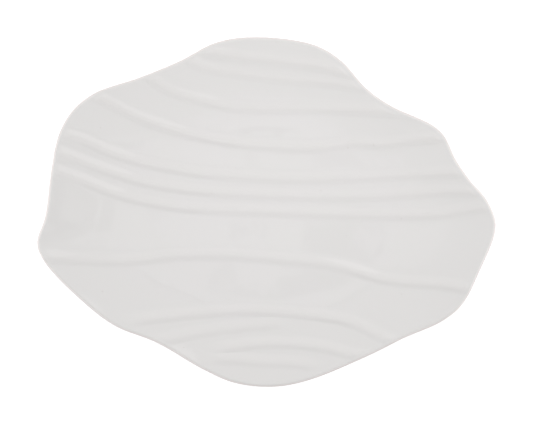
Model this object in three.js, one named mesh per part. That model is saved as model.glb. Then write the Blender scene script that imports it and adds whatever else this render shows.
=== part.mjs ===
// A free-form white porcelain serving platter: a shallow dish with raised ripples across it,
// a half-round lip, and two foot rings under its flat floor.
// Millimetres, +Z up, +X along the platter. The origin is on the table, under the middle of the outline.
import * as THREE from "three";

const { lerp, smoothstep, degToRad, euclideanModulo } = THREE.MathUtils;

// Overall size of the outline
const LENGTH = 400;
const WIDTH = 305;

// Heights and walls
const FOOT_HEIGHT = 6;
const FLOOR_THICKNESS = 6;
const RIM_RISE = 8;
const LIP_THICKNESS = 5;
const LIP_TILT = degToRad(10);

// The flat oval well in the middle, and the curves by which the wall leaves it above and below
const WELL_LENGTH = 210;
const WELL_WIDTH = 150;
const WALL_CURVE = 1.8;
const UNDERSIDE_CURVE = 1.8;

// Ripples: a broad upper flank, a steeper lower one, and the lengths over which they die out
const RIPPLE_HEIGHT = 1.1;
const UPPER_FLANK = 7.5;
const LOWER_FLANK = 6;
const RIPPLE_FADE = 25;
const LIP_EASE = 6;

// Foot rings: the outer one carries the platter, the inner one stays just clear of the table
const FOOT_LENGTH = 250;
const FOOT_WIDTH = 180;
const INNER_FOOT_LENGTH = 120;
const INNER_FOOT_WIDTH = 80;
const INNER_FOOT_CLEARANCE = 0.4;
const FOOT_WALL = 7;
const FOOT_DRAFT = 0.8;
const FOOT_EDGE_RADIUS = 1.2;
const SEAT_MARGIN = 6;

// How finely the surfaces are divided
const COLUMNS = 28;
const COLUMN_CROWDING = 0.6;
const FLANK_STEPS = [0.5, 1];
const FLANK_ROOM = 0.9;
const PLAIN_STEP = 11;
const END_STEP = 8;
const LIP_SEGMENTS = 5;
const UNDERSIDE_SEGMENTS = 3;
const EDGE_SAMPLES = 1100;
const FOOT_SEGMENTS = 64;
const FOOT_EDGE_SEGMENTS = 2;

const GLAZE = new THREE.MeshStandardMaterial({ color: 0xe0dedd, roughness: 0.12, metalness: 0 });
const BARE_FOOT = new THREE.MeshStandardMaterial({ color: 0xddd8cf, roughness: 0.75, metalness: 0 });

// The outline in plan, anticlockwise from the right-hand lobe. Each row is one lobe with the waist after it.
const OUTLINE = [
  [200, -12], [192, 10.5], [178, 27], [165, 46],
  [156, 65], [146, 75], [108, 93], [87, 108],
  [65, 132], [42, 145.5], [-8, 152.5], [-43, 148], [-76, 131.5], [-110, 117.5],
  [-150, 103.5], [-169, 88.5], [-181, 67.5], [-187.5, 37], [-193, -4],
  [-200, -27], [-194, -43], [-160, -78.5], [-132, -99.5], [-96, -114],
  [-54, -138], [-28, -149], [5, -152.5], [36, -147], [92, -124], [120, -110],
  [153, -95.5], [170, -81.5], [185, -53.5],
];

// The crest of each ripple in plan, from rim to rim and from the far side to the near one.
// A ripple that stops short has died out at from or to, which are places along X.
// A ripple that is stronger or weaker than most has its share of their height.
const RIPPLES = [
  {
    crest: [[-55, 143], [-31, 137], [-5, 134], [21, 131], [47, 127], [74, 121]],
    height: 1.2,
  },
  { crest: [[-68, 135], [-57, 127], [-31, 122.5], [-5, 119], [21, 116], [47, 114], [84, 112]] },
  { crest: [[-103, 119], [-84, 106], [-57, 98], [-31, 92.5], [-5, 91], [47, 90.5], [114, 90]] },
  {
    crest: [
      [-150, 103.5], [-110, 82], [-84, 73], [-57, 66], [-31, 61], [-5, 58.5],
      [21, 57], [47, 57], [78, 61], [97, 60], [126, 63], [154, 67],
    ],
    height: 1.2,
  },
  {
    crest: [
      [-181, 69], [-162, 63], [-136, 52], [-110, 44], [-84, 38.5], [-57, 34],
      [-31, 32], [21, 29.5], [73, 30.5], [126, 33], [171, 36],
    ],
  },
  {
    crest: [
      [-185, 53], [-162, 44.5], [-136, 35], [-110, 27], [-84, 22], [-57, 18.5],
      [-5, 15.5], [47, 14], [100, 14.5], [152, 18], [184, 20],
    ],
  },
  {
    crest: [
      [-187, 36.5], [-162, 28], [-136, 17.5], [-110, 10.5], [-84, 5.5], [-57, 3],
      [-5, 1], [47, -1], [100, -2.5], [152, -1.5], [174, 2], [195, 6.5],
    ],
  },
  {
    crest: [
      [-195, -40.5], [-136, -42.5], [-110, -41.5], [-84, -38], [-57, -37], [-31, -37.5],
      [-5, -39.5], [47, -44.5], [73, -50], [100, -58], [126, -61.5], [152, -63], [178, -68],
    ],
  },
  {
    crest: [[-132, -99], [-84, -91], [-31, -86.5], [-5, -86.5], [47, -91], [73, -96], [109, -114]],
    from: -130,
  },
  {
    crest: [[-94, -115.5], [-84, -110.5], [-57, -105], [-5, -99], [17, -98], [60, -104], [98, -121]],
    to: 24,
    height: 0.7,
  },
  {
    crest: [[-77, -125], [-44, -119.5], [-5, -115], [21, -115], [47, -117.5], [73, -123.5], [84, -128]],
    from: -54,
  },
  {
    crest: [[-60, -134.5], [-48, -128.5], [-31, -128.5], [-5, -130.5], [21, -131.5], [59, -138.5]],
    from: -60,
    to: 54,
    height: 0.85,
  },
];

const flat = (x, y) => new THREE.Vector3(x, y, 0);

// The outline as drawn, and the scale and shift that bring it to its length and width about the origin
const drawn = new THREE.CatmullRomCurve3(OUTLINE.map(([x, y]) => flat(x, y)), true, "centripetal");
drawn.arcLengthDivisions = EDGE_SAMPLES;
const drawnBox = new THREE.Box3().setFromPoints(drawn.getSpacedPoints(EDGE_SAMPLES));
const drawnSize = drawnBox.getSize(new THREE.Vector3());
const drawnMiddle = drawnBox.getCenter(new THREE.Vector3());
const toSize = new THREE.Vector3(LENGTH / drawnSize.x, WIDTH / drawnSize.y, 1);
const placed = (point) => point.clone().sub(drawnMiddle).multiply(toSize);

// A point of the outline at a share of the way round, moved in by an inset
function edgePoint(share, inset) {
  const turn = euclideanModulo(share, 1);
  const along = drawn.getTangentAt(turn).multiply(toSize).normalize();
  return placed(drawn.getPointAt(turn)).add(flat(-along.y, along.x).multiplyScalar(inset));
}

// The lip's half-round section leans with the wall, so the dish ends a little more than its radius in
const LIP_RADIUS = LIP_THICKNESS / 2;
const DISH_INSET = LIP_RADIUS * (1 + Math.sin(LIP_TILT));
const dishEdge = Array.from({ length: EDGE_SAMPLES }, (_, i) => edgePoint(i / EDGE_SAMPLES, DISH_INSET));

// The share of the way round at which the dish's edge is nearest to a point
function nearestShare(point) {
  const gaps = dishEdge.map((edge) => edge.distanceToSquared(point));
  return gaps.indexOf(Math.min(...gaps)) / EDGE_SAMPLES;
}

function distanceToEdge(point) {
  return Math.min(...dishEdge.map((edge) => edge.distanceTo(point)));
}

const bearingOf = (point) => euclideanModulo(Math.atan2(point.y, point.x), 2 * Math.PI);
const ovalReach = (length, width, bearing) =>
  1 / Math.hypot(Math.cos(bearing) / (length / 2), Math.sin(bearing) / (width / 2));

// The reach of the dish's edge from the middle along a bearing
const edgeBearings = dishEdge
  .map((edge) => ({ bearing: bearingOf(edge), reach: Math.hypot(edge.x, edge.y) }))
  .sort((a, b) => a.bearing - b.bearing);
function edgeReach(bearing) {
  const after = edgeBearings.findIndex((edge) => edge.bearing > bearing);
  const next = edgeBearings.at(Math.max(after, 0));
  const last = edgeBearings.at(after < 0 ? -1 : after - 1);
  const span = euclideanModulo(next.bearing - last.bearing, 2 * Math.PI);
  return lerp(last.reach, next.reach, euclideanModulo(bearing - last.bearing, 2 * Math.PI) / span);
}

// The rim stands higher at the lobes than at the waists, as the edge of a trimmed bowl does
const rimRise = (bearing) => (RIM_RISE * edgeReach(bearing)) / ovalReach(LENGTH, WIDTH, bearing);

// The height of the dish without its ripples
function dishHeight(point) {
  const bearing = bearingOf(point);
  const well = ovalReach(WELL_LENGTH, WELL_WIDTH, bearing);
  const up = (Math.hypot(point.x, point.y) - well) / (edgeReach(bearing) - well);
  return FOOT_HEIGHT + FLOOR_THICKNESS + rimRise(bearing) * Math.max(up, 0) ** WALL_CURVE;
}

// A guide is a line across the dish from its left edge to its right edge. A ripple's crest is one, with its
// ends set on the dish's edge. Shares down the right-hand edge run on below 0, to keep their order.
function rippleGuide(ripple) {
  const points = ripple.crest.map(([x, y]) => placed(flat(x, y)));
  const left = nearestShare(points[0]);
  const right = nearestShare(points.at(-1));
  points[0] = edgePoint(left, DISH_INSET);
  points[points.length - 1] = edgePoint(right, DISH_INSET);
  const curve = new THREE.CatmullRomCurve3(points, false, "centripetal");
  const from = placed(flat(ripple.from ?? -Infinity, 0)).x;
  const to = placed(flat(ripple.to ?? Infinity, 0)).x;
  const crestHeight = RIPPLE_HEIGHT * (ripple.height ?? 1);
  return {
    left,
    right: right > 0.5 ? right - 1 : right,
    at: (u) => curve.getPointAt(u),
    normal: (u) => flat(-curve.getTangentAt(u).y, curve.getTangentAt(u).x),
    height: (x) =>
      crestHeight * smoothstep(x, from, from + RIPPLE_FADE) * (1 - smoothstep(x, to - RIPPLE_FADE, to)),
  };
}

// The far and the near stretch of the edge are guides too, with no ripple on them.
// The near one adds the turn that its right-hand end is below 0 by.
function edgeGuide(left, right, turns) {
  const share = (u) => lerp(left, right + turns, u);
  const at = (u) => edgePoint(share(u), DISH_INSET);
  const normal = (u) => edgePoint(share(u), DISH_INSET + 1).sub(at(u));
  return { left, right, share, at, normal, height: () => 0 };
}

const crests = RIPPLES.map(rippleGuide);
const endShare = END_STEP / drawn.getLength();
const guides = [
  edgeGuide(crests[0].left - endShare, crests[0].right + endShare, 0),
  ...crests,
  edgeGuide(crests.at(-1).left + endShare, crests.at(-1).right - endShare, 1),
];

// A point between two guides: a Coons patch whose other two sides are stretches of the dish's edge
function patchPoint(upper, lower, u, v) {
  const left = edgePoint(lerp(upper.left, lower.left, v), DISH_INSET);
  const right = edgePoint(lerp(upper.right, lower.right, v), DISH_INSET);
  const across = upper.at(u).lerp(lower.at(u), v);
  const leftChord = upper.at(0).lerp(lower.at(0), v);
  const rightChord = upper.at(1).lerp(lower.at(1), v);
  return across.add(left.sub(leftChord).multiplyScalar(1 - u)).add(right.sub(rightChord).multiplyScalar(u));
}

// The rounded section of a ripple, 1 on the crest and 0 at the foot of its flank
const rippleSection = (share) => (share < 1 ? (1 - share * share) ** 2 : 0);

// The height of the ripples at a point between two guides
function rippleHeight(point, upper, lower, u) {
  const below = Math.abs(point.clone().sub(upper.at(u)).dot(upper.normal(u))) / LOWER_FLANK;
  const above = Math.abs(point.clone().sub(lower.at(u)).dot(lower.normal(u))) / UPPER_FLANK;
  const rise = Math.max(
    upper.height(point.x) * rippleSection(below),
    lower.height(point.x) * rippleSection(above),
  );
  return rise * smoothstep(distanceToEdge(point), 0, LIP_EASE);
}

// Where the rows between two guides lie at one column: down one ripple, over the plain field, up the next
function rowShares(upper, lower, u, plainRows) {
  const step = lower.at(u).sub(upper.at(u));
  const room = Math.min(Math.abs(step.dot(upper.normal(u))), Math.abs(step.dot(lower.normal(u))));
  const squeeze = Math.min(1, (FLANK_ROOM * room) / (LOWER_FLANK + UPPER_FLANK)) / room;
  const down = FLANK_STEPS.map((share) => share * LOWER_FLANK * squeeze);
  const up = FLANK_STEPS.map((share) => 1 - share * UPPER_FLANK * squeeze).reverse();
  const plain = Array.from({ length: plainRows }, (_, i) =>
    lerp(down.at(-1), up[0], (i + 1) / (plainRows + 1)),
  );
  return [0, ...down, ...plain, ...up];
}

// Columns lie closer together towards the two ends, where the wall curves most
const columns = Array.from({ length: COLUMNS + 1 }, (_, i) =>
  lerp(i / COLUMNS, (1 - Math.cos((Math.PI * i) / COLUMNS)) / 2, COLUMN_CROWDING),
);

// Where round the outline a grid point lies, if it is on the dish's edge
function edgeShare(upper, lower, u, v) {
  if (u === 0) return lerp(upper.left, lower.left, v);
  if (u === 1) return lerp(upper.right, lower.right, v);
  return v === 0 ? upper.share?.(u) : lower.share?.(u);
}

function dishCell(upper, lower, u, v) {
  const point = patchPoint(upper, lower, u, v);
  point.z = dishHeight(point) + rippleHeight(point, upper, lower, u);
  return { point, share: edgeShare(upper, lower, u, v) };
}

// The rows of the dish from one guide down to the next, without the row on the next
function patchRows(upper, lower) {
  const widest = Math.max(...columns.map((u) => upper.at(u).distanceTo(lower.at(u))));
  const plainRows = Math.max(1, Math.round((widest - LOWER_FLANK - UPPER_FLANK) / PLAIN_STEP));
  const shares = columns.map((u) => rowShares(upper, lower, u, plainRows));
  return shares[0].map((_, j) => columns.map((u, i) => dishCell(upper, lower, u, shares[i][j])));
}

// The top of the dish as a grid of cells, from the far edge to the near one
function dishGrid() {
  const rows = guides.slice(1).flatMap((lower, k) => patchRows(guides[k], lower));
  const lastRow = columns.map((u) => dishCell(guides.at(-2), guides.at(-1), u, 1));
  return [...rows, lastRow];
}

// Collects points and triangles for one closed mesh
class Surface {
  points = [];
  triangles = [];

  add(point) {
    this.points.push(point);
    return this.points.length - 1;
  }

  quad(a, b, c, d) {
    this.triangles.push(a, b, c, a, c, d);
  }

  // A band between two closed loops, where the second lies outside or below the first
  band(inner, outer) {
    inner.forEach((_, i) => {
      const next = (i + 1) % inner.length;
      this.quad(inner[i], outer[i], outer[next], inner[next]);
    });
  }

  geometry() {
    const made = new THREE.BufferGeometry().setFromPoints(this.points);
    made.setIndex(this.triangles);
    made.computeVertexNormals();
    return made;
  }
}

// The rim of the grid, anticlockwise from its far left corner
function rimOf(grid) {
  const last = grid.length - 1;
  return [
    ...grid.map((row) => row[0]),
    ...grid[last].slice(1),
    ...grid.slice(0, last).map((row) => row[COLUMNS]).reverse(),
    ...grid[0].slice(1, COLUMNS).reverse(),
  ];
}

function platterBody() {
  const surface = new Surface();
  const grid = dishGrid();
  grid.flat().forEach((cell) => {
    cell.index = surface.add(cell.point);
  });
  grid.slice(1).forEach((row, j) => {
    const above = grid[j];
    row.slice(1).forEach((cell, i) => {
      surface.quad(above[i].index, row[i].index, cell.index, above[i + 1].index);
    });
  });

  const rim = rimOf(grid);
  let loop = rim.map((cell) => cell.index);
  const nextLoop = (points) => {
    const made = points.map((point) => surface.add(point));
    surface.band(loop, made);
    loop = made;
  };

  for (let i = 1; i <= LIP_SEGMENTS; i++) {
    const lean = (Math.PI * i) / LIP_SEGMENTS - LIP_TILT;
    const inset = LIP_RADIUS * (1 - Math.sin(lean));
    const drop = LIP_RADIUS * (Math.cos(LIP_TILT) - Math.cos(lean));
    nextLoop(rim.map((cell) => edgePoint(cell.share, inset).setZ(cell.point.z - drop)));
  }

  const underLip = loop.map((index) => surface.points[index]);
  for (let i = 1; i <= UNDERSIDE_SEGMENTS; i++) {
    const out = 1 - i / UNDERSIDE_SEGMENTS;
    nextLoop(
      underLip.map((point) => {
        const bearing = bearingOf(point);
        const seat = ovalReach(FOOT_LENGTH + 2 * SEAT_MARGIN, FOOT_WIDTH + 2 * SEAT_MARGIN, bearing);
        const reach = lerp(seat, Math.hypot(point.x, point.y), out);
        const z = FOOT_HEIGHT + (point.z - FOOT_HEIGHT) * out ** UNDERSIDE_CURVE;
        return new THREE.Vector3(reach * Math.cos(bearing), reach * Math.sin(bearing), z);
      }),
    );
  }

  const middle = surface.add(new THREE.Vector3(0, 0, FOOT_HEIGHT));
  loop.forEach((index, i) => surface.triangles.push(middle, loop[(i + 1) % loop.length], index));
  return surface.geometry();
}

// The section of a foot ring, as steps in from its outer wall and heights: drafted sides and rounded edges
function footSection(clearance) {
  const half = [[0, FOOT_HEIGHT]];
  for (let i = 0; i <= FOOT_EDGE_SEGMENTS; i++) {
    const turn = (Math.PI / 2) * (i / FOOT_EDGE_SEGMENTS);
    half.push([
      FOOT_DRAFT + FOOT_EDGE_RADIUS * (1 - Math.cos(turn)),
      clearance + FOOT_EDGE_RADIUS * (1 - Math.sin(turn)),
    ]);
  }
  const otherHalf = half.map(([inset, z]) => [FOOT_WALL - inset, z]).reverse();
  return [...half, ...otherHalf];
}

// An oval ring of constant wall, flat on top where it meets the floor
function footRing(length, width, clearance) {
  const surface = new Surface();
  const turns = Array.from({ length: FOOT_SEGMENTS }, (_, i) => (2 * Math.PI * i) / FOOT_SEGMENTS);
  const loops = footSection(clearance).map(([inset, z]) =>
    turns.map((turn) => {
      const across = flat(Math.cos(turn) / length, Math.sin(turn) / width).normalize();
      const x = (length / 2) * Math.cos(turn) - across.x * inset;
      const y = (width / 2) * Math.sin(turn) - across.y * inset;
      return surface.add(new THREE.Vector3(x, y, z));
    }),
  );
  loops.forEach((loop, i) => surface.band(loop, loops[(i + 1) % loops.length]));
  return surface.geometry();
}

function named(name, geometry, material) {
  const mesh = new THREE.Mesh(geometry, material);
  mesh.name = name;
  return mesh;
}

const platter = new THREE.Group();
platter.add(
  named("platter_body", platterBody(), GLAZE),
  named("outer_foot_ring", footRing(FOOT_LENGTH, FOOT_WIDTH, 0), BARE_FOOT),
  named("inner_foot_ring", footRing(INNER_FOOT_LENGTH, INNER_FOOT_WIDTH, INNER_FOOT_CLEARANCE), BARE_FOOT),
);

export default platter;
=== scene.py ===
# A free-form white porcelain serving platter on a white table, seen from straight above.
# The shapes are worked out in millimetres and become metres when a mesh is made.
import math

import bpy
import numpy as np
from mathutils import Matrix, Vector
from mathutils.kdtree import KDTree


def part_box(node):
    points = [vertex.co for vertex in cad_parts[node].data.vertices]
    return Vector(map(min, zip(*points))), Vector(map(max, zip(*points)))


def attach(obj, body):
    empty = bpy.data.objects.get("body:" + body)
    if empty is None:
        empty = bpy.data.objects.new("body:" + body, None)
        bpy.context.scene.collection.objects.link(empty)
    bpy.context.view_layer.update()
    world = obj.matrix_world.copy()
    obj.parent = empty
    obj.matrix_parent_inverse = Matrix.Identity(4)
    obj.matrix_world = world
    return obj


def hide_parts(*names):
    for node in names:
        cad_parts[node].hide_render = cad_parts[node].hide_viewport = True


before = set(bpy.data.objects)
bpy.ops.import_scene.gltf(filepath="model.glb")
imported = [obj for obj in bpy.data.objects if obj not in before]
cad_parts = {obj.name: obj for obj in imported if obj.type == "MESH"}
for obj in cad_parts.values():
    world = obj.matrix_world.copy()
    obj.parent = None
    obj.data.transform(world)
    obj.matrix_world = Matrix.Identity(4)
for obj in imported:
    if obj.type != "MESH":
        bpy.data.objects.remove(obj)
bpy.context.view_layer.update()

MM = 0.001


def node_box(node):
    """The lowest and highest corners of a node in millimetres"""
    return [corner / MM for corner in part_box(node)]


# Overall sizes, from the frame
body_low, body_high = node_box("platter_body")
LENGTH = body_high.x - body_low.x
WIDTH = body_high.y - body_low.y
FOOT_HEIGHT = body_low.z
foot_low, foot_high = node_box("outer_foot_ring")
FOOT_LENGTH = foot_high.x - foot_low.x
FOOT_WIDTH = foot_high.y - foot_low.y

# Heights and walls
FLOOR_THICKNESS = 6
RIM_RISE = 8
LIP_THICKNESS = 5
LIP_TILT = math.radians(10)

# The flat oval well in the middle, and the curves by which the wall leaves it above and below
WELL_LENGTH = 210
WELL_WIDTH = 150
WALL_CURVE = 1.8
UNDERSIDE_CURVE = 1.8

# Ripples: a broad upper flank, a steeper lower one, the length over which one dies out inside the dish,
# the share of its height that one keeps at the lip, and the length over which it drops to that
RIPPLE_HEIGHT = 1.1
UPPER_FLANK = 7.5
LOWER_FLANK = 6
RIPPLE_FADE = 25
LIP_SHARE = 0.5
LIP_EASE = 4

# Foot rings: a rounded root under the floor, a wall that narrows downwards and a rounded base
FOOT_WALL = 7
FOOT_DRAFT = 0.8
FOOT_EDGE_RADIUS = 1.2
FOOT_ROOT_RADIUS = 2.5
FOOT_SINK = 0.1
SEAT_MARGIN = 6

# The glaze ends in a rounded edge on the foot's wall. Its waves: how many, how high and where they start.
GLAZE_LINE = 2.1
GLAZE_THICKNESS = 0.25
GLAZE_WAVES = [(7, 0.11, 0.4), (17, 0.066, 2.1), (41, 0.044, 0)]

# How finely the surfaces are divided
COLUMNS = 170
COLUMN_CROWDING = 0.6
FLANK_ROWS = 6
FLANK_ROOM = 0.9
PLAIN_STEP = 4
END_STEP = 8
LIP_SEGMENTS = 12
UNDERSIDE_RINGS = 12
FLOOR_RINGS = 4
SPAN_SAMPLES = 120
EDGE_SAMPLES = 4400
FOOT_SEGMENTS = 192
ARC_SEGMENTS = 6

# The outline in plan, anticlockwise from the right-hand lobe. Each row is one lobe with the waist after it.
OUTLINE = [
    (200, -12), (192, 10.5), (178, 27), (165, 46),
    (156, 65), (146, 75), (108, 93), (87, 108),
    (65, 132), (42, 145.5), (-8, 152.5), (-43, 148), (-76, 131.5), (-110, 117.5),
    (-150, 103.5), (-169, 88.5), (-181, 67.5), (-187.5, 37), (-193, -4),
    (-200, -27), (-194, -43), (-160, -78.5), (-132, -99.5), (-96, -114),
    (-54, -138), (-28, -149), (5, -152.5), (36, -147), (92, -124), (120, -110),
    (153, -95.5), (170, -81.5), (185, -53.5),
]

# The crest of each ripple in plan, from rim to rim and from the far side to the near one.
# A ripple that stops short has died out at from or to, which are places along X.
# A ripple that is stronger or weaker than most has its share of their height.
RIPPLES = [
    {
        "crest": [(-55, 143), (-31, 137), (-5, 134), (21, 131), (47, 127), (74, 121)],
        "height": 1.2,
    },
    {
        "crest": [(-68, 135), (-57, 127), (-31, 122.5), (-5, 119), (21, 116), (47, 114), (84, 112)],
    },
    {
        "crest": [(-103, 119), (-84, 106), (-57, 98), (-31, 92.5), (-5, 91), (47, 90.5), (114, 90)],
    },
    {
        "crest": [
            (-150, 103.5), (-110, 82), (-84, 73), (-57, 66), (-31, 61), (-5, 58.5),
            (21, 57), (47, 57), (78, 61), (97, 60), (126, 63), (154, 67),
        ],
        "height": 1.2,
    },
    {
        "crest": [
            (-181, 69), (-162, 63), (-136, 52), (-110, 44), (-84, 38.5), (-57, 34),
            (-31, 32), (21, 29.5), (73, 30.5), (126, 33), (171, 36),
        ],
    },
    {
        "crest": [
            (-185, 53), (-162, 44.5), (-136, 35), (-110, 27), (-84, 22), (-57, 18.5),
            (-5, 15.5), (47, 14), (100, 14.5), (152, 18), (184, 20),
        ],
    },
    {
        "crest": [
            (-187, 36.5), (-162, 28), (-136, 17.5), (-110, 10.5), (-84, 5.5), (-57, 3),
            (-5, 1), (47, -1), (100, -2.5), (152, -1.5), (174, 2), (195, 6.5),
        ],
    },
    {
        "crest": [
            (-195, -40.5), (-136, -42.5), (-110, -41.5), (-84, -38), (-57, -37), (-31, -37.5),
            (-5, -39.5), (47, -44.5), (73, -50), (100, -58), (126, -61.5), (152, -63), (178, -68),
        ],
    },
    {
        "crest": [
            (-132, -99), (-84, -91), (-31, -86.5), (-5, -86.5), (47, -91), (73, -96), (109, -114),
        ],
        "from": -130,
    },
    {
        "crest": [
            (-94, -115.5), (-84, -110.5), (-57, -105), (-5, -99), (17, -98), (60, -104), (98, -121),
        ],
        "to": 24,
        "height": 0.7,
    },
    {
        "crest": [
            (-77, -125), (-44, -119.5), (-5, -115), (21, -115), (47, -117.5), (73, -123.5), (84, -128),
        ],
        "from": -54,
    },
    {
        "crest": [
            (-60, -134.5), (-48, -128.5), (-31, -128.5), (-5, -130.5), (21, -131.5), (59, -138.5),
        ],
        "from": -60,
        "to": 54,
        "height": 0.85,
    },
]


# Curves in plan

def lerp(a, b, share):
    return a + (b - a) * share


def smoothstep(value, low, high):
    share = np.clip((value - low) / (high - low), 0, 1)
    return share * share * (3 - 2 * share)


def dot(a, b):
    return (a * b).sum(axis=-1)


def curve_span(before, start, end, after):
    """Close points from start up to end on a centripetal Catmull-Rom curve"""
    chords = [math.dist(before, start), math.dist(start, end), math.dist(end, after)]
    k0, k1, k2, k3 = np.cumsum([0, *np.sqrt(chords)])
    t = np.linspace(k1, k2, SPAN_SAMPLES, endpoint=False)[:, None]
    first = lerp(before, start, (t - k0) / (k1 - k0))
    middle = lerp(start, end, (t - k1) / (k2 - k1))
    last = lerp(end, after, (t - k2) / (k3 - k2))
    coming = lerp(first, middle, (t - k0) / (k2 - k0))
    going = lerp(middle, last, (t - k1) / (k3 - k1))
    return lerp(coming, going, (t - k1) / (k2 - k1))


class Curve:
    """A smooth curve through knots in plan, read by the share of its length"""

    def __init__(self, knots, closed=False):
        knots = np.array(knots, dtype=float)
        if closed:
            knots = np.vstack([knots[-1:], knots, knots[:2]])
        else:
            knots = np.vstack([2 * knots[0] - knots[1], knots, 2 * knots[-1] - knots[-2]])
        spans = [curve_span(*knots[i:i + 4]) for i in range(len(knots) - 3)]
        self.points = np.vstack([*spans, knots[-2]])
        travelled = np.cumsum([0, *np.hypot(*np.diff(self.points, axis=0).T)])
        self.length = travelled[-1]
        self.shares = travelled / self.length
        self.closed = closed

    def read(self, values, share):
        share = np.asarray(share, dtype=float)
        if self.closed:
            share = share % 1
        return np.stack([np.interp(share, self.shares, values[:, axis]) for axis in (0, 1)], axis=-1)

    def at(self, share):
        return self.read(self.points, share)

    def tangent(self, share):
        along = np.gradient(self.points, self.shares, axis=0)
        return self.read(along, share)


def left_of(along):
    """The unit direction to the left of a direction in plan"""
    turned = np.stack([-along[..., 1], along[..., 0]], axis=-1)
    return turned / np.linalg.norm(turned, axis=-1, keepdims=True)


# The outline, brought to its length and width about the origin
drawn = Curve(OUTLINE, closed=True)
drawn_low = drawn.points.min(axis=0)
drawn_high = drawn.points.max(axis=0)
TO_SIZE = np.array([LENGTH, WIDTH]) / (drawn_high - drawn_low)


def placed(point):
    return (np.asarray(point, dtype=float) - (drawn_low + drawn_high) / 2) * TO_SIZE


def edge_point(share, inset):
    """A point of the outline at a share of the way round, moved in by an inset"""
    inwards = left_of(drawn.tangent(share) * TO_SIZE)
    return placed(drawn.at(share)) + inwards * inset


# The lip's half-round section leans with the wall, so the dish ends a little more than its radius in
LIP_RADIUS = LIP_THICKNESS / 2
DISH_INSET = LIP_RADIUS * (1 + math.sin(LIP_TILT))
edge_shares = np.arange(EDGE_SAMPLES) / EDGE_SAMPLES
dish_edge = edge_point(edge_shares, DISH_INSET)


def edge_tree():
    tree = KDTree(EDGE_SAMPLES)
    for i, (x, y) in enumerate(dish_edge):
        tree.insert((x, y, 0), i)
    tree.balance()
    return tree


nearest_edge = edge_tree()


def distance_to_edge(points):
    flat = points.reshape(-1, 2)
    gaps = np.array([nearest_edge.find((x, y, 0))[2] for x, y in flat])
    return gaps.reshape(points.shape[:-1])


def nearest_share(point):
    return edge_shares[nearest_edge.find((*point, 0))[1]]


# Heights of the dish

def bearing_of(points):
    return np.arctan2(points[..., 1], points[..., 0])


def oval_reach(length, width, bearing):
    return 1 / np.hypot(np.cos(bearing) / (length / 2), np.sin(bearing) / (width / 2))


def edge_reach(bearing):
    return np.interp(bearing, bearing_of(dish_edge), np.hypot(*dish_edge.T), period=2 * math.pi)


def dish_height(points):
    """The height of the dish without its ripples. Its rim is higher at the lobes than at the waists."""
    bearing = bearing_of(points)
    reach = edge_reach(bearing)
    well = oval_reach(WELL_LENGTH, WELL_WIDTH, bearing)
    rise = RIM_RISE * reach / oval_reach(LENGTH, WIDTH, bearing)
    up = (np.hypot(points[..., 0], points[..., 1]) - well) / (reach - well)
    return FOOT_HEIGHT + FLOOR_THICKNESS + rise * np.maximum(up, 0) ** WALL_CURVE


class RippleGuide:
    """A ripple's crest as a line across the dish, with its ends set on the dish's edge"""

    def __init__(self, ripple):
        knots = placed(ripple["crest"])
        self.left = nearest_share(knots[0])
        self.right = nearest_share(knots[-1])
        knots[0] = edge_point(self.left, DISH_INSET)
        knots[-1] = edge_point(self.right, DISH_INSET)
        if self.right > 0.5:
            self.right -= 1
        self.curve = Curve(knots)
        self.start = placed((ripple.get("from", -math.inf), 0))[0]
        self.end = placed((ripple.get("to", math.inf), 0))[0]
        self.crest_height = RIPPLE_HEIGHT * ripple.get("height", 1)

    def at(self, u):
        return self.curve.at(u)

    def normal(self, u):
        return left_of(self.curve.tangent(u))

    def height(self, x):
        fade_in = smoothstep(x, self.start, self.start + RIPPLE_FADE) if math.isfinite(self.start) else 1
        fade_out = smoothstep(x, self.end, self.end - RIPPLE_FADE) if math.isfinite(self.end) else 1
        return self.crest_height * fade_in * fade_out


class EdgeGuide:
    """The far or the near stretch of the edge, with no ripple on it"""

    def __init__(self, left, right, turns):
        self.left = left
        self.right = right
        self.turns = turns

    def share(self, u):
        return lerp(self.left, self.right + self.turns, u)

    def at(self, u):
        return edge_point(self.share(u), DISH_INSET)

    def normal(self, u):
        return left_of(drawn.tangent(self.share(u)) * TO_SIZE)

    def height(self, x):
        return np.zeros_like(x)


def make_guides():
    crests = [RippleGuide(ripple) for ripple in RIPPLES]
    step = END_STEP / drawn.length
    far = EdgeGuide(crests[0].left - step, crests[0].right + step, 0)
    near = EdgeGuide(crests[-1].left + step, crests[-1].right - step, 1)
    return [far, *crests, near]


def patch_points(upper, lower, u, v):
    """Points between two guides: a Coons patch whose other two sides are stretches of the dish's edge"""
    left = edge_point(lerp(upper.left, lower.left, v), DISH_INSET)
    right = edge_point(lerp(upper.right, lower.right, v), DISH_INSET)
    u = u[:, None]
    v = v[..., None]
    across = lerp(upper.at(u[:, 0]), lower.at(u[:, 0]), v)
    left_chord = lerp(upper.at(0), lower.at(0), v)
    right_chord = lerp(upper.at(1), lower.at(1), v)
    return across + (left - left_chord) * (1 - u) + (right - right_chord) * u


def ripple_height(points, upper, lower, u):
    below = np.minimum(abs(dot(points - upper.at(u), upper.normal(u))) / LOWER_FLANK, 1)
    above = np.minimum(abs(dot(points - lower.at(u), lower.normal(u))) / UPPER_FLANK, 1)
    down = upper.height(points[..., 0]) * (1 - below ** 2) ** 2
    up = lower.height(points[..., 0]) * (1 - above ** 2) ** 2
    return np.maximum(down, up)


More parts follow.
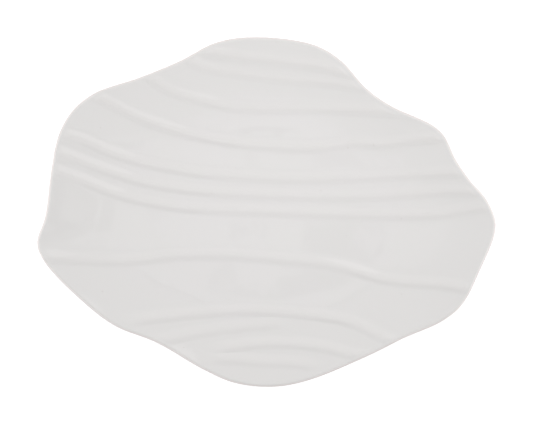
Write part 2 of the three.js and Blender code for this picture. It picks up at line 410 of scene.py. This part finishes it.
def row_shares(upper, lower, u):
    """Where the rows between two guides lie: down one ripple, over the plain field, up the next"""
    step = lower.at(u) - upper.at(u)
    room = np.minimum(abs(dot(step, upper.normal(u))), abs(dot(step, lower.normal(u))))
    squeeze = np.minimum(1, FLANK_ROOM * room / (LOWER_FLANK + UPPER_FLANK)) / room
    flank = np.linspace(0, 1, FLANK_ROWS + 1)[:, None]
    down = flank * LOWER_FLANK * squeeze
    up = 1 - flank[::-1] * UPPER_FLANK * squeeze
    widest = np.linalg.norm(step, axis=-1).max()
    plain_rows = max(1, round((widest - LOWER_FLANK - UPPER_FLANK) / PLAIN_STEP))
    plain = np.arange(1, plain_rows + 1)[:, None] / (plain_rows + 1)
    return np.vstack([down, lerp(down[-1], up[0], plain), up])


def edge_share_grid(upper, lower, u, v):
    """Where round the outline the grid points on the dish's edge lie. The others keep nan."""
    share = np.full(v.shape, np.nan)
    if isinstance(upper, EdgeGuide):
        share[0] = upper.share(u)
    if isinstance(lower, EdgeGuide):
        share[-1] = lower.share(u)
    share[:, 0] = lerp(upper.left, lower.left, v[:, 0])
    share[:, -1] = lerp(upper.right, lower.right, v[:, -1])
    return share


def dish_grid():
    """The top of the dish from the far edge to the near one: points, ripple heights and edge shares"""
    even = np.linspace(0, 1, COLUMNS + 1)
    u = lerp(even, (1 - np.cos(math.pi * even)) / 2, COLUMN_CROWDING)
    guides = make_guides()
    grids = []
    for upper, lower in zip(guides, guides[1:]):
        v = row_shares(upper, lower, u)
        plan = patch_points(upper, lower, u, v)
        ripple = ripple_height(plan, upper, lower, u)
        share = edge_share_grid(upper, lower, u, v)
        kept = slice(None) if lower is guides[-1] else slice(-1)
        grids.append([layer[kept] for layer in (plan, ripple, share)])
    plan, ripple, share = (np.concatenate(layers) for layers in zip(*grids))
    ripple = ripple * lerp(LIP_SHARE, 1, smoothstep(distance_to_edge(plan), 0, LIP_EASE))
    height = dish_height(plan) + ripple
    return np.concatenate([plan, height[..., None]], axis=-1), ripple, share


# Meshes

# How thin the glaze is, from 0 to 1, is kept on each point: a little on the crests, and fully on the lip
THIN_GLAZE = "thin_glaze"
CREST_THINNING = 0.08
LIP_THINNING_STARTS = 0.75 * DISH_INSET
LIP_THINNING_ENDS = 0.25 * DISH_INSET


class Surface:
    """Collects points and faces for one closed mesh, with the glaze's thinness at each point"""

    def __init__(self):
        self.points = []
        self.thinness = []
        self.faces = []
        self.slots = []

    def add(self, points, thinness):
        start = len(self.points)
        self.points.extend(map(tuple, points))
        self.thinness.extend(thinness)
        return np.arange(start, len(self.points))

    def cover(self, faces, slot=0):
        self.faces.extend(faces.tolist())
        self.slots.extend([slot] * len(faces))

    def band(self, inner, outer, slot=0):
        """Faces between two closed loops, where the second lies outside or below the first"""
        quads = np.stack([inner, outer, np.roll(outer, -1), np.roll(inner, -1)], axis=1)
        self.cover(quads, slot)

    def mesh(self, name, materials):
        made = bpy.data.meshes.new(name)
        scaled = np.array(self.points) * MM
        made.from_pydata(scaled.tolist(), [], self.faces)
        for material in materials:
            made.materials.append(material)
        made.polygons.foreach_set("material_index", self.slots)
        made.polygons.foreach_set("use_smooth", [True] * len(self.faces))
        layer = made.attributes.new(THIN_GLAZE, "FLOAT", "POINT")
        layer.data.foreach_set("value", np.array(self.thinness, dtype=np.float32))
        made.validate()
        made.update()
        piece = bpy.data.objects.new(name, made)
        bpy.context.scene.collection.objects.link(piece)
        return piece


def rim_of(grid):
    """The rim of a grid, anticlockwise from its far left corner"""
    return np.concatenate([grid[:, 0], grid[-1, 1:], grid[-2::-1, -1], grid[0, -2:0:-1]])


def add_dish(surface):
    """The top of the dish. Gives the loop of its rim, with the rim's shares of the outline and heights."""
    points, ripple, share = dish_grid()
    thin = ripple.ravel() / RIPPLE_HEIGHT * CREST_THINNING
    grid = surface.add(points.reshape(-1, 3), thin).reshape(ripple.shape)
    corners = [grid[:-1, :-1], grid[1:, :-1], grid[1:, 1:], grid[:-1, 1:]]
    surface.cover(np.stack(corners, axis=-1).reshape(-1, 4))
    return rim_of(grid), rim_of(share), rim_of(points)[:, 2]


def add_lip(surface, loop, share, height):
    """The half-round lip, from the rim of the dish round to its underside. Gives its last loop."""
    for i in range(1, LIP_SEGMENTS + 1):
        lean = math.pi * i / LIP_SEGMENTS - LIP_TILT
        inset = LIP_RADIUS * (1 - math.sin(lean))
        drop = LIP_RADIUS * (math.cos(LIP_TILT) - math.cos(lean))
        around = np.column_stack([edge_point(share, inset), height - drop])
        thin = smoothstep(inset, LIP_THINNING_STARTS, LIP_THINNING_ENDS)
        outer = surface.add(around, np.full(len(around), thin))
        surface.band(loop, outer)
        loop = outer
    return loop


def next_ring(surface, loop, reach, bearing, height):
    """One more ring of the underside, joined to the loop outside it"""
    ring = np.column_stack([reach * np.cos(bearing), reach * np.sin(bearing), height])
    inner = surface.add(ring, np.zeros(len(ring)))
    surface.band(loop, inner)
    return inner


def add_underside(surface, loop):
    """The underside: a wall from under the lip down to the outer foot ring's seat, then the flat floor"""
    under_lip = np.array([surface.points[i] for i in loop])
    bearing = bearing_of(under_lip)
    lip_reach = np.hypot(under_lip[:, 0], under_lip[:, 1])
    seat = oval_reach(FOOT_LENGTH + 2 * SEAT_MARGIN, FOOT_WIDTH + 2 * SEAT_MARGIN, bearing)
    for out in np.linspace(1, 0, UNDERSIDE_RINGS + 1)[1:]:
        height = FOOT_HEIGHT + (under_lip[:, 2] - FOOT_HEIGHT) * out ** UNDERSIDE_CURVE
        loop = next_ring(surface, loop, lerp(seat, lip_reach, out), bearing, height)
    for out in np.linspace(1, 0, FLOOR_RINGS + 1)[1:-1]:
        loop = next_ring(surface, loop, seat * out, bearing, np.full(len(loop), FOOT_HEIGHT))
    middle = surface.add([(0, 0, FOOT_HEIGHT)], [0])
    surface.cover(np.column_stack([np.repeat(middle, len(loop)), np.roll(loop, -1), loop]))


def platter_body(glaze):
    surface = Surface()
    loop = add_lip(surface, *add_dish(surface))
    add_underside(surface, loop)
    return surface.mesh("glazed_platter", [glaze])


def arc(centre, radius, start, end):
    turns = np.radians(np.linspace(start, end, ARC_SEGMENTS + 1))
    return [(centre[0] + radius * math.cos(t), centre[1] + radius * math.sin(t)) for t in turns]


def foot_section(clearance):
    """A foot ring's section as steps in from its outer wall and heights, and what each step is"""
    root = arc((-FOOT_ROOT_RADIUS, FOOT_HEIGHT - FOOT_ROOT_RADIUS), FOOT_ROOT_RADIUS, 90, 0)
    wall = FOOT_DRAFT / 2
    glaze_edge = arc((wall + GLAZE_THICKNESS, GLAZE_LINE + GLAZE_THICKNESS), GLAZE_THICKNESS, 180, 270)
    base_centre = (FOOT_DRAFT + FOOT_EDGE_RADIUS, clearance + FOOT_EDGE_RADIUS)
    base = arc(base_centre, FOOT_EDGE_RADIUS, 180, 270)
    half = [(-FOOT_ROOT_RADIUS, FOOT_HEIGHT + FOOT_SINK), *root, *glaze_edge, *base]
    kinds = ["glazed"] * (1 + len(root)) + ["edge"] * len(glaze_edge) + ["bare"] * len(base)
    other = [(FOOT_WALL - inset, z) for inset, z in reversed(half)]
    return half + other, kinds + kinds[::-1]


def glaze_wander(turns):
    """How far the glaze's edge strays up and down round a ring"""
    return sum(height * np.sin(count * turns + start) for count, height, start in GLAZE_WAVES)


def foot_ring(name, node, glaze, bare):
    """An oval ring under the floor, with its wall glazed down to a wandering line and its base bare"""
    low, high = node_box(node)
    length = high.x - low.x
    width = high.y - low.y
    turns = np.arange(FOOT_SEGMENTS) * 2 * math.pi / FOOT_SEGMENTS
    across = np.column_stack([np.cos(turns) / length, np.sin(turns) / width])
    across /= np.linalg.norm(across, axis=1, keepdims=True)
    oval = np.column_stack([np.cos(turns) * length / 2, np.sin(turns) * width / 2])
    section, kinds = foot_section(low.z)
    surface = Surface()
    loops = []
    for (inset, z), kind in zip(section, kinds):
        height = z + (glaze_wander(turns) if kind == "edge" else 0)
        ring = np.column_stack([oval - across * inset, np.broadcast_to(height, turns.shape)])
        loops.append(surface.add(ring, np.zeros(FOOT_SEGMENTS)))
    for i, loop in enumerate(loops):
        after = (i + 1) % len(loops)
        slot = 1 if "bare" in (kinds[i], kinds[after]) else 0
        surface.band(loop, loops[after], slot)
    return surface.mesh(name, [glaze, bare])


# Materials

class Nodes:
    """Short ways to add nodes to a shader tree"""

    def __init__(self, tree):
        self.tree = tree
        tree.nodes.clear()

    def add(self, kind, inputs=None, **settings):
        node = self.tree.nodes.new(kind)
        for name, value in settings.items():
            setattr(node, name, value)
        for name, value in (inputs or {}).items():
            self.feed(node.inputs[name], value)
        return node

    def feed(self, socket, value):
        if isinstance(value, bpy.types.NodeSocket):
            self.tree.links.new(value, socket)
        else:
            socket.default_value = value

    def math(self, operation, *values):
        node = self.add("ShaderNodeMath", dict(enumerate(values)), operation=operation)
        return node.outputs[0]

    def ramp(self, value, low, high, to_low=0.0, to_high=1.0):
        inputs = {"Value": value, "From Min": low, "From Max": high, "To Min": to_low, "To Max": to_high}
        return self.add("ShaderNodeMapRange", inputs, interpolation_type="SMOOTHSTEP").outputs["Result"]

    def mix(self, share, a, b):
        """A mix of two colours. The node has an A and a B for each type, so its sockets go by number."""
        return self.add("ShaderNodeMix", {0: share, 6: a, 7: b}, data_type="RGBA").outputs[2]

    def noise(self, place, scale, detail, roughness=0.5):
        inputs = {"Vector": place, "Scale": scale, "Detail": detail, "Roughness": roughness}
        return self.add("ShaderNodeTexNoise", inputs).outputs[0]

    def bump(self, height, distance, normal=None):
        inputs = {"Height": height, "Distance": distance, "Strength": 1.0}
        if normal is not None:
            inputs["Normal"] = normal
        return self.add("ShaderNodeBump", inputs).outputs["Normal"]

    def surface(self, colour, roughness, normal):
        inputs = {"Base Color": colour, "Roughness": roughness, "IOR": CERAMIC_IOR, "Normal": normal}
        shader = self.add("ShaderNodeBsdfPrincipled", inputs)
        self.add("ShaderNodeOutputMaterial", {"Surface": shader.outputs["BSDF"]})


def new_material(name):
    material = bpy.data.materials.new(name)
    material.use_nodes = True
    return material, Nodes(material.node_tree)


CERAMIC_IOR = 1.5

# Glaze on the rim, where it has pooled in the well and where it is thin, and its specks
GLAZE_COLOUR = (0.751, 0.738, 0.729, 1)
POOLED_COLOUR = (0.7535, 0.738, 0.7325, 1)
THIN_COLOUR = (0.775, 0.721, 0.708, 1)
SPECK_COLOUR = (0.42, 0.36, 0.30, 1)
GLAZE_ROUGHNESS = (0.012, 0.020)

# The glaze has pooled below a level that drifts up and down
POOL_LEVEL = (FOOT_HEIGHT + FLOOR_THICKNESS) * MM
POOL_DRIFT = 0.0015

# Bare clay, the stains on it, and the noise values over which a stain begins
BARE_COLOUR = (0.72, 0.69, 0.64, 1)
BARE_STAIN = (0.60, 0.565, 0.51, 1)
BARE_ROUGHNESS = (0.62, 0.82)
STAIN_SPAN = (0.48, 0.72)

# Noises: how many features go into a metre, how many finer layers there are and, on some,
# how strong these are. Most values of a noise lie in the span.
POOL_NOISE = (22.0, 3.0)
GLOSS_NOISE = (60.0, 4.0)
WAVE_NOISE = (45.0, 2.5)
PEEL_NOISE = (420.0, 1.0)
STAIN_NOISE = (90.0, 5.0, 0.6)
GRAIN_NOISE = (2600.0, 3.0, 0.65)
NOISE_SPAN = (0.3, 0.7)

# Depths of the glaze's waves and orange peel, and of the bare clay's grain, in metres
WAVE_DEPTH = 0.00008
PEEL_DEPTH = 0.0000008
GRAIN_DEPTH = 0.00005

# Specks: cells in a metre, the draw above which a cell has one,
# and how far from its middle a speck's edge ends and starts, in cells
SPECK_CELLS = 42.0
SPECK_DRAW = 0.93
SPECK_EDGE = (0.014, 0.007)


def specks(nodes, place):
    """Rare pin-head specks in the glaze: a few cells of a cell pattern have one"""
    pattern = {"Vector": place, "Scale": SPECK_CELLS, "Randomness": 1.0}
    cells = nodes.add("ShaderNodeTexVoronoi", pattern, voronoi_dimensions="2D")
    draw = nodes.add("ShaderNodeSeparateColor", {"Color": cells.outputs["Color"]}).outputs["Red"]
    chosen = nodes.math("GREATER_THAN", draw, SPECK_DRAW)
    return nodes.math("MULTIPLY", chosen, nodes.ramp(cells.outputs["Distance"], *SPECK_EDGE))


def white_glaze():
    """Glossy, wavy white glaze: a shade pinker where it has pooled, warm where it is thin on the lip"""
    material, nodes = new_material("white_glaze")
    place = nodes.add("ShaderNodeTexCoord").outputs["Object"]
    height = nodes.add("ShaderNodeSeparateXYZ", {0: place}).outputs["Z"]
    drift = nodes.ramp(nodes.noise(place, *POOL_NOISE), *NOISE_SPAN, -POOL_DRIFT, POOL_DRIFT)
    pooled = nodes.ramp(nodes.math("ADD", height, drift), POOL_LEVEL + POOL_DRIFT, POOL_LEVEL)
    thin = nodes.add("ShaderNodeAttribute", attribute_name=THIN_GLAZE).outputs["Fac"]
    colour = nodes.mix(pooled, GLAZE_COLOUR, POOLED_COLOUR)
    colour = nodes.mix(thin, colour, THIN_COLOUR)
    colour = nodes.mix(specks(nodes, place), colour, SPECK_COLOUR)
    roughness = nodes.ramp(nodes.noise(place, *GLOSS_NOISE), *NOISE_SPAN, *GLAZE_ROUGHNESS)
    waves = nodes.bump(nodes.noise(place, *WAVE_NOISE), WAVE_DEPTH)
    peel = nodes.bump(nodes.noise(place, *PEEL_NOISE), PEEL_DEPTH, waves)
    nodes.surface(colour, roughness, peel)
    return material


def bare_foot():
    """Unglazed porcelain: matt, finely grained and a little stained from the kiln shelf"""
    material, nodes = new_material("bare_foot")
    place = nodes.add("ShaderNodeTexCoord").outputs["Object"]
    stained = nodes.ramp(nodes.noise(place, *STAIN_NOISE), *STAIN_SPAN)
    colour = nodes.mix(stained, BARE_COLOUR, BARE_STAIN)
    grain = nodes.noise(place, *GRAIN_NOISE)
    roughness = nodes.ramp(grain, *NOISE_SPAN, *BARE_ROUGHNESS)
    nodes.surface(colour, roughness, nodes.bump(grain, GRAIN_DEPTH))
    return material


# Stage, lights and camera

FLOOR_SIZE = 24.0
FLOOR_COLOUR = (0.8, 0.8, 0.8, 1)
FLOOR_LIFT = 0.55

# The room: the light that it sheds, and the white that camera, mirror and glass rays see in it
ROOM_COLOUR = (1, 1, 1, 1)
ROOM_LIGHT = 0.6485
ROOM_WHITE = 1.0

# The dimmer front of the room: how much is missing, the slopes to the front over which it begins,
# and the heights of a direction over which it ends above the horizon
FRONT_DIMNESS = 0.3
FRONT_SLOPES = (-0.3, -2.0)
HORIZON_HEIGHTS = (0.14, 0.26)

# The least height of a direction, so that its slopes stay finite
LEAST_HEIGHT = 0.01

# Dim and bright cards over the platter that its glaze mirrors: centre, half size and brightness.
# A place is a slope from straight up: how far to the right and to the back for each metre of height.
# First a pale panel with dim things before it, two of which have a pale middle.
# Then, further out, a pale card and a dim one for the ripples, and two pale ones for the lip.
STUDIO_CARDS = [
    ((0.012, -0.012), (0.088, 0.066), 0.28),
    ((0.055, -0.024), (0.028, 0.017), -0.55),
    ((0.071, -0.019), (0.008, 0.008), 0.50),
    ((0.152, -0.043), (0.069, 0.038), -0.55),
    ((0.126, -0.036), (0.024, 0.018), 0.45),
    ((0.036, -0.051), (0.027, 0.010), -0.55),
    ((-0.013, -0.012), (0.010, 0.004), -0.50),
    ((-0.030, -0.042), (0.008, 0.006), -0.45),
    ((-0.016, -0.057), (0.023, 0.005), -0.45),
    ((-0.012, 0.059), (0.026, 0.005), -0.50),
    ((-0.009, 0.035), (0.004, 0.003), -0.45),
    ((0.051, 0.035), (0.019, 0.005), -0.50),
    ((0.260, 0.380), (0.140, 0.180), 0.65),
    ((-0.150, -0.500), (0.070, 0.150), -0.45),
    ((0.600, -0.170), (0.400, 0.170), 0.70),
    ((-0.550, -0.125), (0.330, 0.125), 0.35),
]

# Half the width of a card's soft edge, as a slope
CARD_EDGE = 0.0004

# Softboxes: name, place, width and the share of white light that each adds on level surfaces
SOFTBOXES = [
    ("overhead_softbox", (0.015, 0.022, 0.30), 0.3, 0.213),
    ("right_softbox", (0.6, 0.0, 0.10), 0.19, 0.038),
    ("left_softbox", (-0.6, 0.0, 0.10), 0.19, 0.036),
    ("back_softbox", (0.0, 0.75, 0.3), 0.5, 0.099),
    ("front_softbox", (0.0, -2.07, 0.75), 1.2, 0.040),
]

# The camera stands over the middle and shows this width at the height of the rim
CAMERA_HEIGHT = 1.3
RIM_PLANE = 0.018
VIEW_WIDTH = 0.4642
SENSOR = 36.0


def seen_rays(nodes):
    """1 for camera, mirror and glass rays, which see the background, and 0 for those that light things"""
    ray = nodes.add("ShaderNodeLightPath").outputs
    seen = nodes.math("MAXIMUM", ray["Is Camera Ray"], ray["Is Glossy Ray"])
    return nodes.math("MAXIMUM", seen, ray["Is Transmission Ray"])


def white_floor():
    """A white table: it takes shadows, and camera, mirror and glass rays see it lifted to white"""
    material, nodes = new_material("white_table")
    strength = nodes.math("MULTIPLY", seen_rays(nodes), FLOOR_LIFT)
    lift = nodes.add("ShaderNodeEmission", {"Strength": strength})
    paper = nodes.add("ShaderNodeBsdfDiffuse", {"Color": FLOOR_COLOUR})
    both = nodes.add("ShaderNodeAddShader", {0: paper.outputs[0], 1: lift.outputs[0]})
    nodes.add("ShaderNodeOutputMaterial", {"Surface": both.outputs[0]})
    half = FLOOR_SIZE / 2
    corners = [(-half, -half, 0), (half, -half, 0), (half, half, 0), (-half, half, 0)]
    mesh = bpy.data.meshes.new("table")
    mesh.from_pydata(corners, [], [(0, 1, 2, 3)])
    mesh.materials.append(material)
    floor = bpy.data.objects.new("table", mesh)
    bpy.context.scene.collection.objects.link(floor)


def card(nodes, across, back, place, half):
    """A soft-edged rectangle overhead, 1 inside and 0 outside"""
    share = 1.0
    for slope, middle, reach in ((across, place[0], half[0]), (back, place[1], half[1])):
        away = nodes.math("ABSOLUTE", nodes.math("SUBTRACT", slope, middle))
        share = nodes.math("MULTIPLY", share, nodes.ramp(away, reach + CARD_EDGE, reach - CARD_EDGE))
    return share


def studio_world():
    """A white room that sheds soft light, with cards overhead for the glaze to mirror"""
    world = bpy.data.worlds.new("studio")
    world.use_nodes = True
    bpy.context.scene.world = world
    nodes = Nodes(world.node_tree)
    towards = nodes.add("ShaderNodeTexCoord").outputs["Generated"]
    axis = nodes.add("ShaderNodeSeparateXYZ", {0: towards}).outputs
    height = nodes.math("MAXIMUM", axis["Z"], LEAST_HEIGHT)
    across = nodes.math("DIVIDE", axis["X"], height)
    back = nodes.math("DIVIDE", axis["Y"], height)
    above = nodes.ramp(axis["Z"], *HORIZON_HEIGHTS)
    front = nodes.math("MULTIPLY", nodes.ramp(back, *FRONT_SLOPES), above)
    white = nodes.math("MULTIPLY_ADD", front, -FRONT_DIMNESS, ROOM_WHITE)
    for place, half, brightness in STUDIO_CARDS:
        white = nodes.math("MULTIPLY_ADD", card(nodes, across, back, place, half), brightness, white)
    level = nodes.add("ShaderNodeMix", {"Factor": seen_rays(nodes), "A": ROOM_LIGHT, "B": white}).outputs[0]
    sky = nodes.add("ShaderNodeBackground", {"Color": ROOM_COLOUR, "Strength": level})
    nodes.add("ShaderNodeOutputWorld", {"Surface": sky.outputs[0]})


def softbox(name, place, width, share):
    """A square lamp aimed at the platter. Its power gives that share of white light on level surfaces."""
    distance = math.hypot(*place)
    data = bpy.data.lights.new(name, "AREA")
    data.size = width
    data.energy = share * (math.pi * distance) ** 2 * distance / place[2]
    lamp = bpy.data.objects.new(name, data)
    lamp.location = place
    lamp.rotation_mode = "QUATERNION"
    lamp.rotation_quaternion = (-Vector(place)).to_track_quat("-Z", "Y")
    lamp.visible_camera = False
    lamp.visible_glossy = False
    bpy.context.scene.collection.objects.link(lamp)


def camera():
    """Straight above the middle, with the back of the platter at the top of the picture"""
    data = bpy.data.cameras.new("camera")
    data.sensor_width = SENSOR
    data.lens = SENSOR * (CAMERA_HEIGHT - RIM_PLANE) / VIEW_WIDTH
    eye = bpy.data.objects.new("camera", data)
    eye.location = (0, 0, CAMERA_HEIGHT)
    bpy.context.scene.collection.objects.link(eye)
    bpy.context.scene.camera = eye


def add_piece(piece, node):
    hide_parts(node)
    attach(piece, "root")


glaze = white_glaze()
bare = bare_foot()
add_piece(platter_body(glaze), "platter_body")
add_piece(foot_ring("outer_foot", "outer_foot_ring", glaze, bare), "outer_foot_ring")
add_piece(foot_ring("inner_foot", "inner_foot_ring", glaze, bare), "inner_foot_ring")

white_floor()
studio_world()
for each in SOFTBOXES:
    softbox(*each)
camera()
bpy.context.scene.view_settings.view_transform = "Standard"
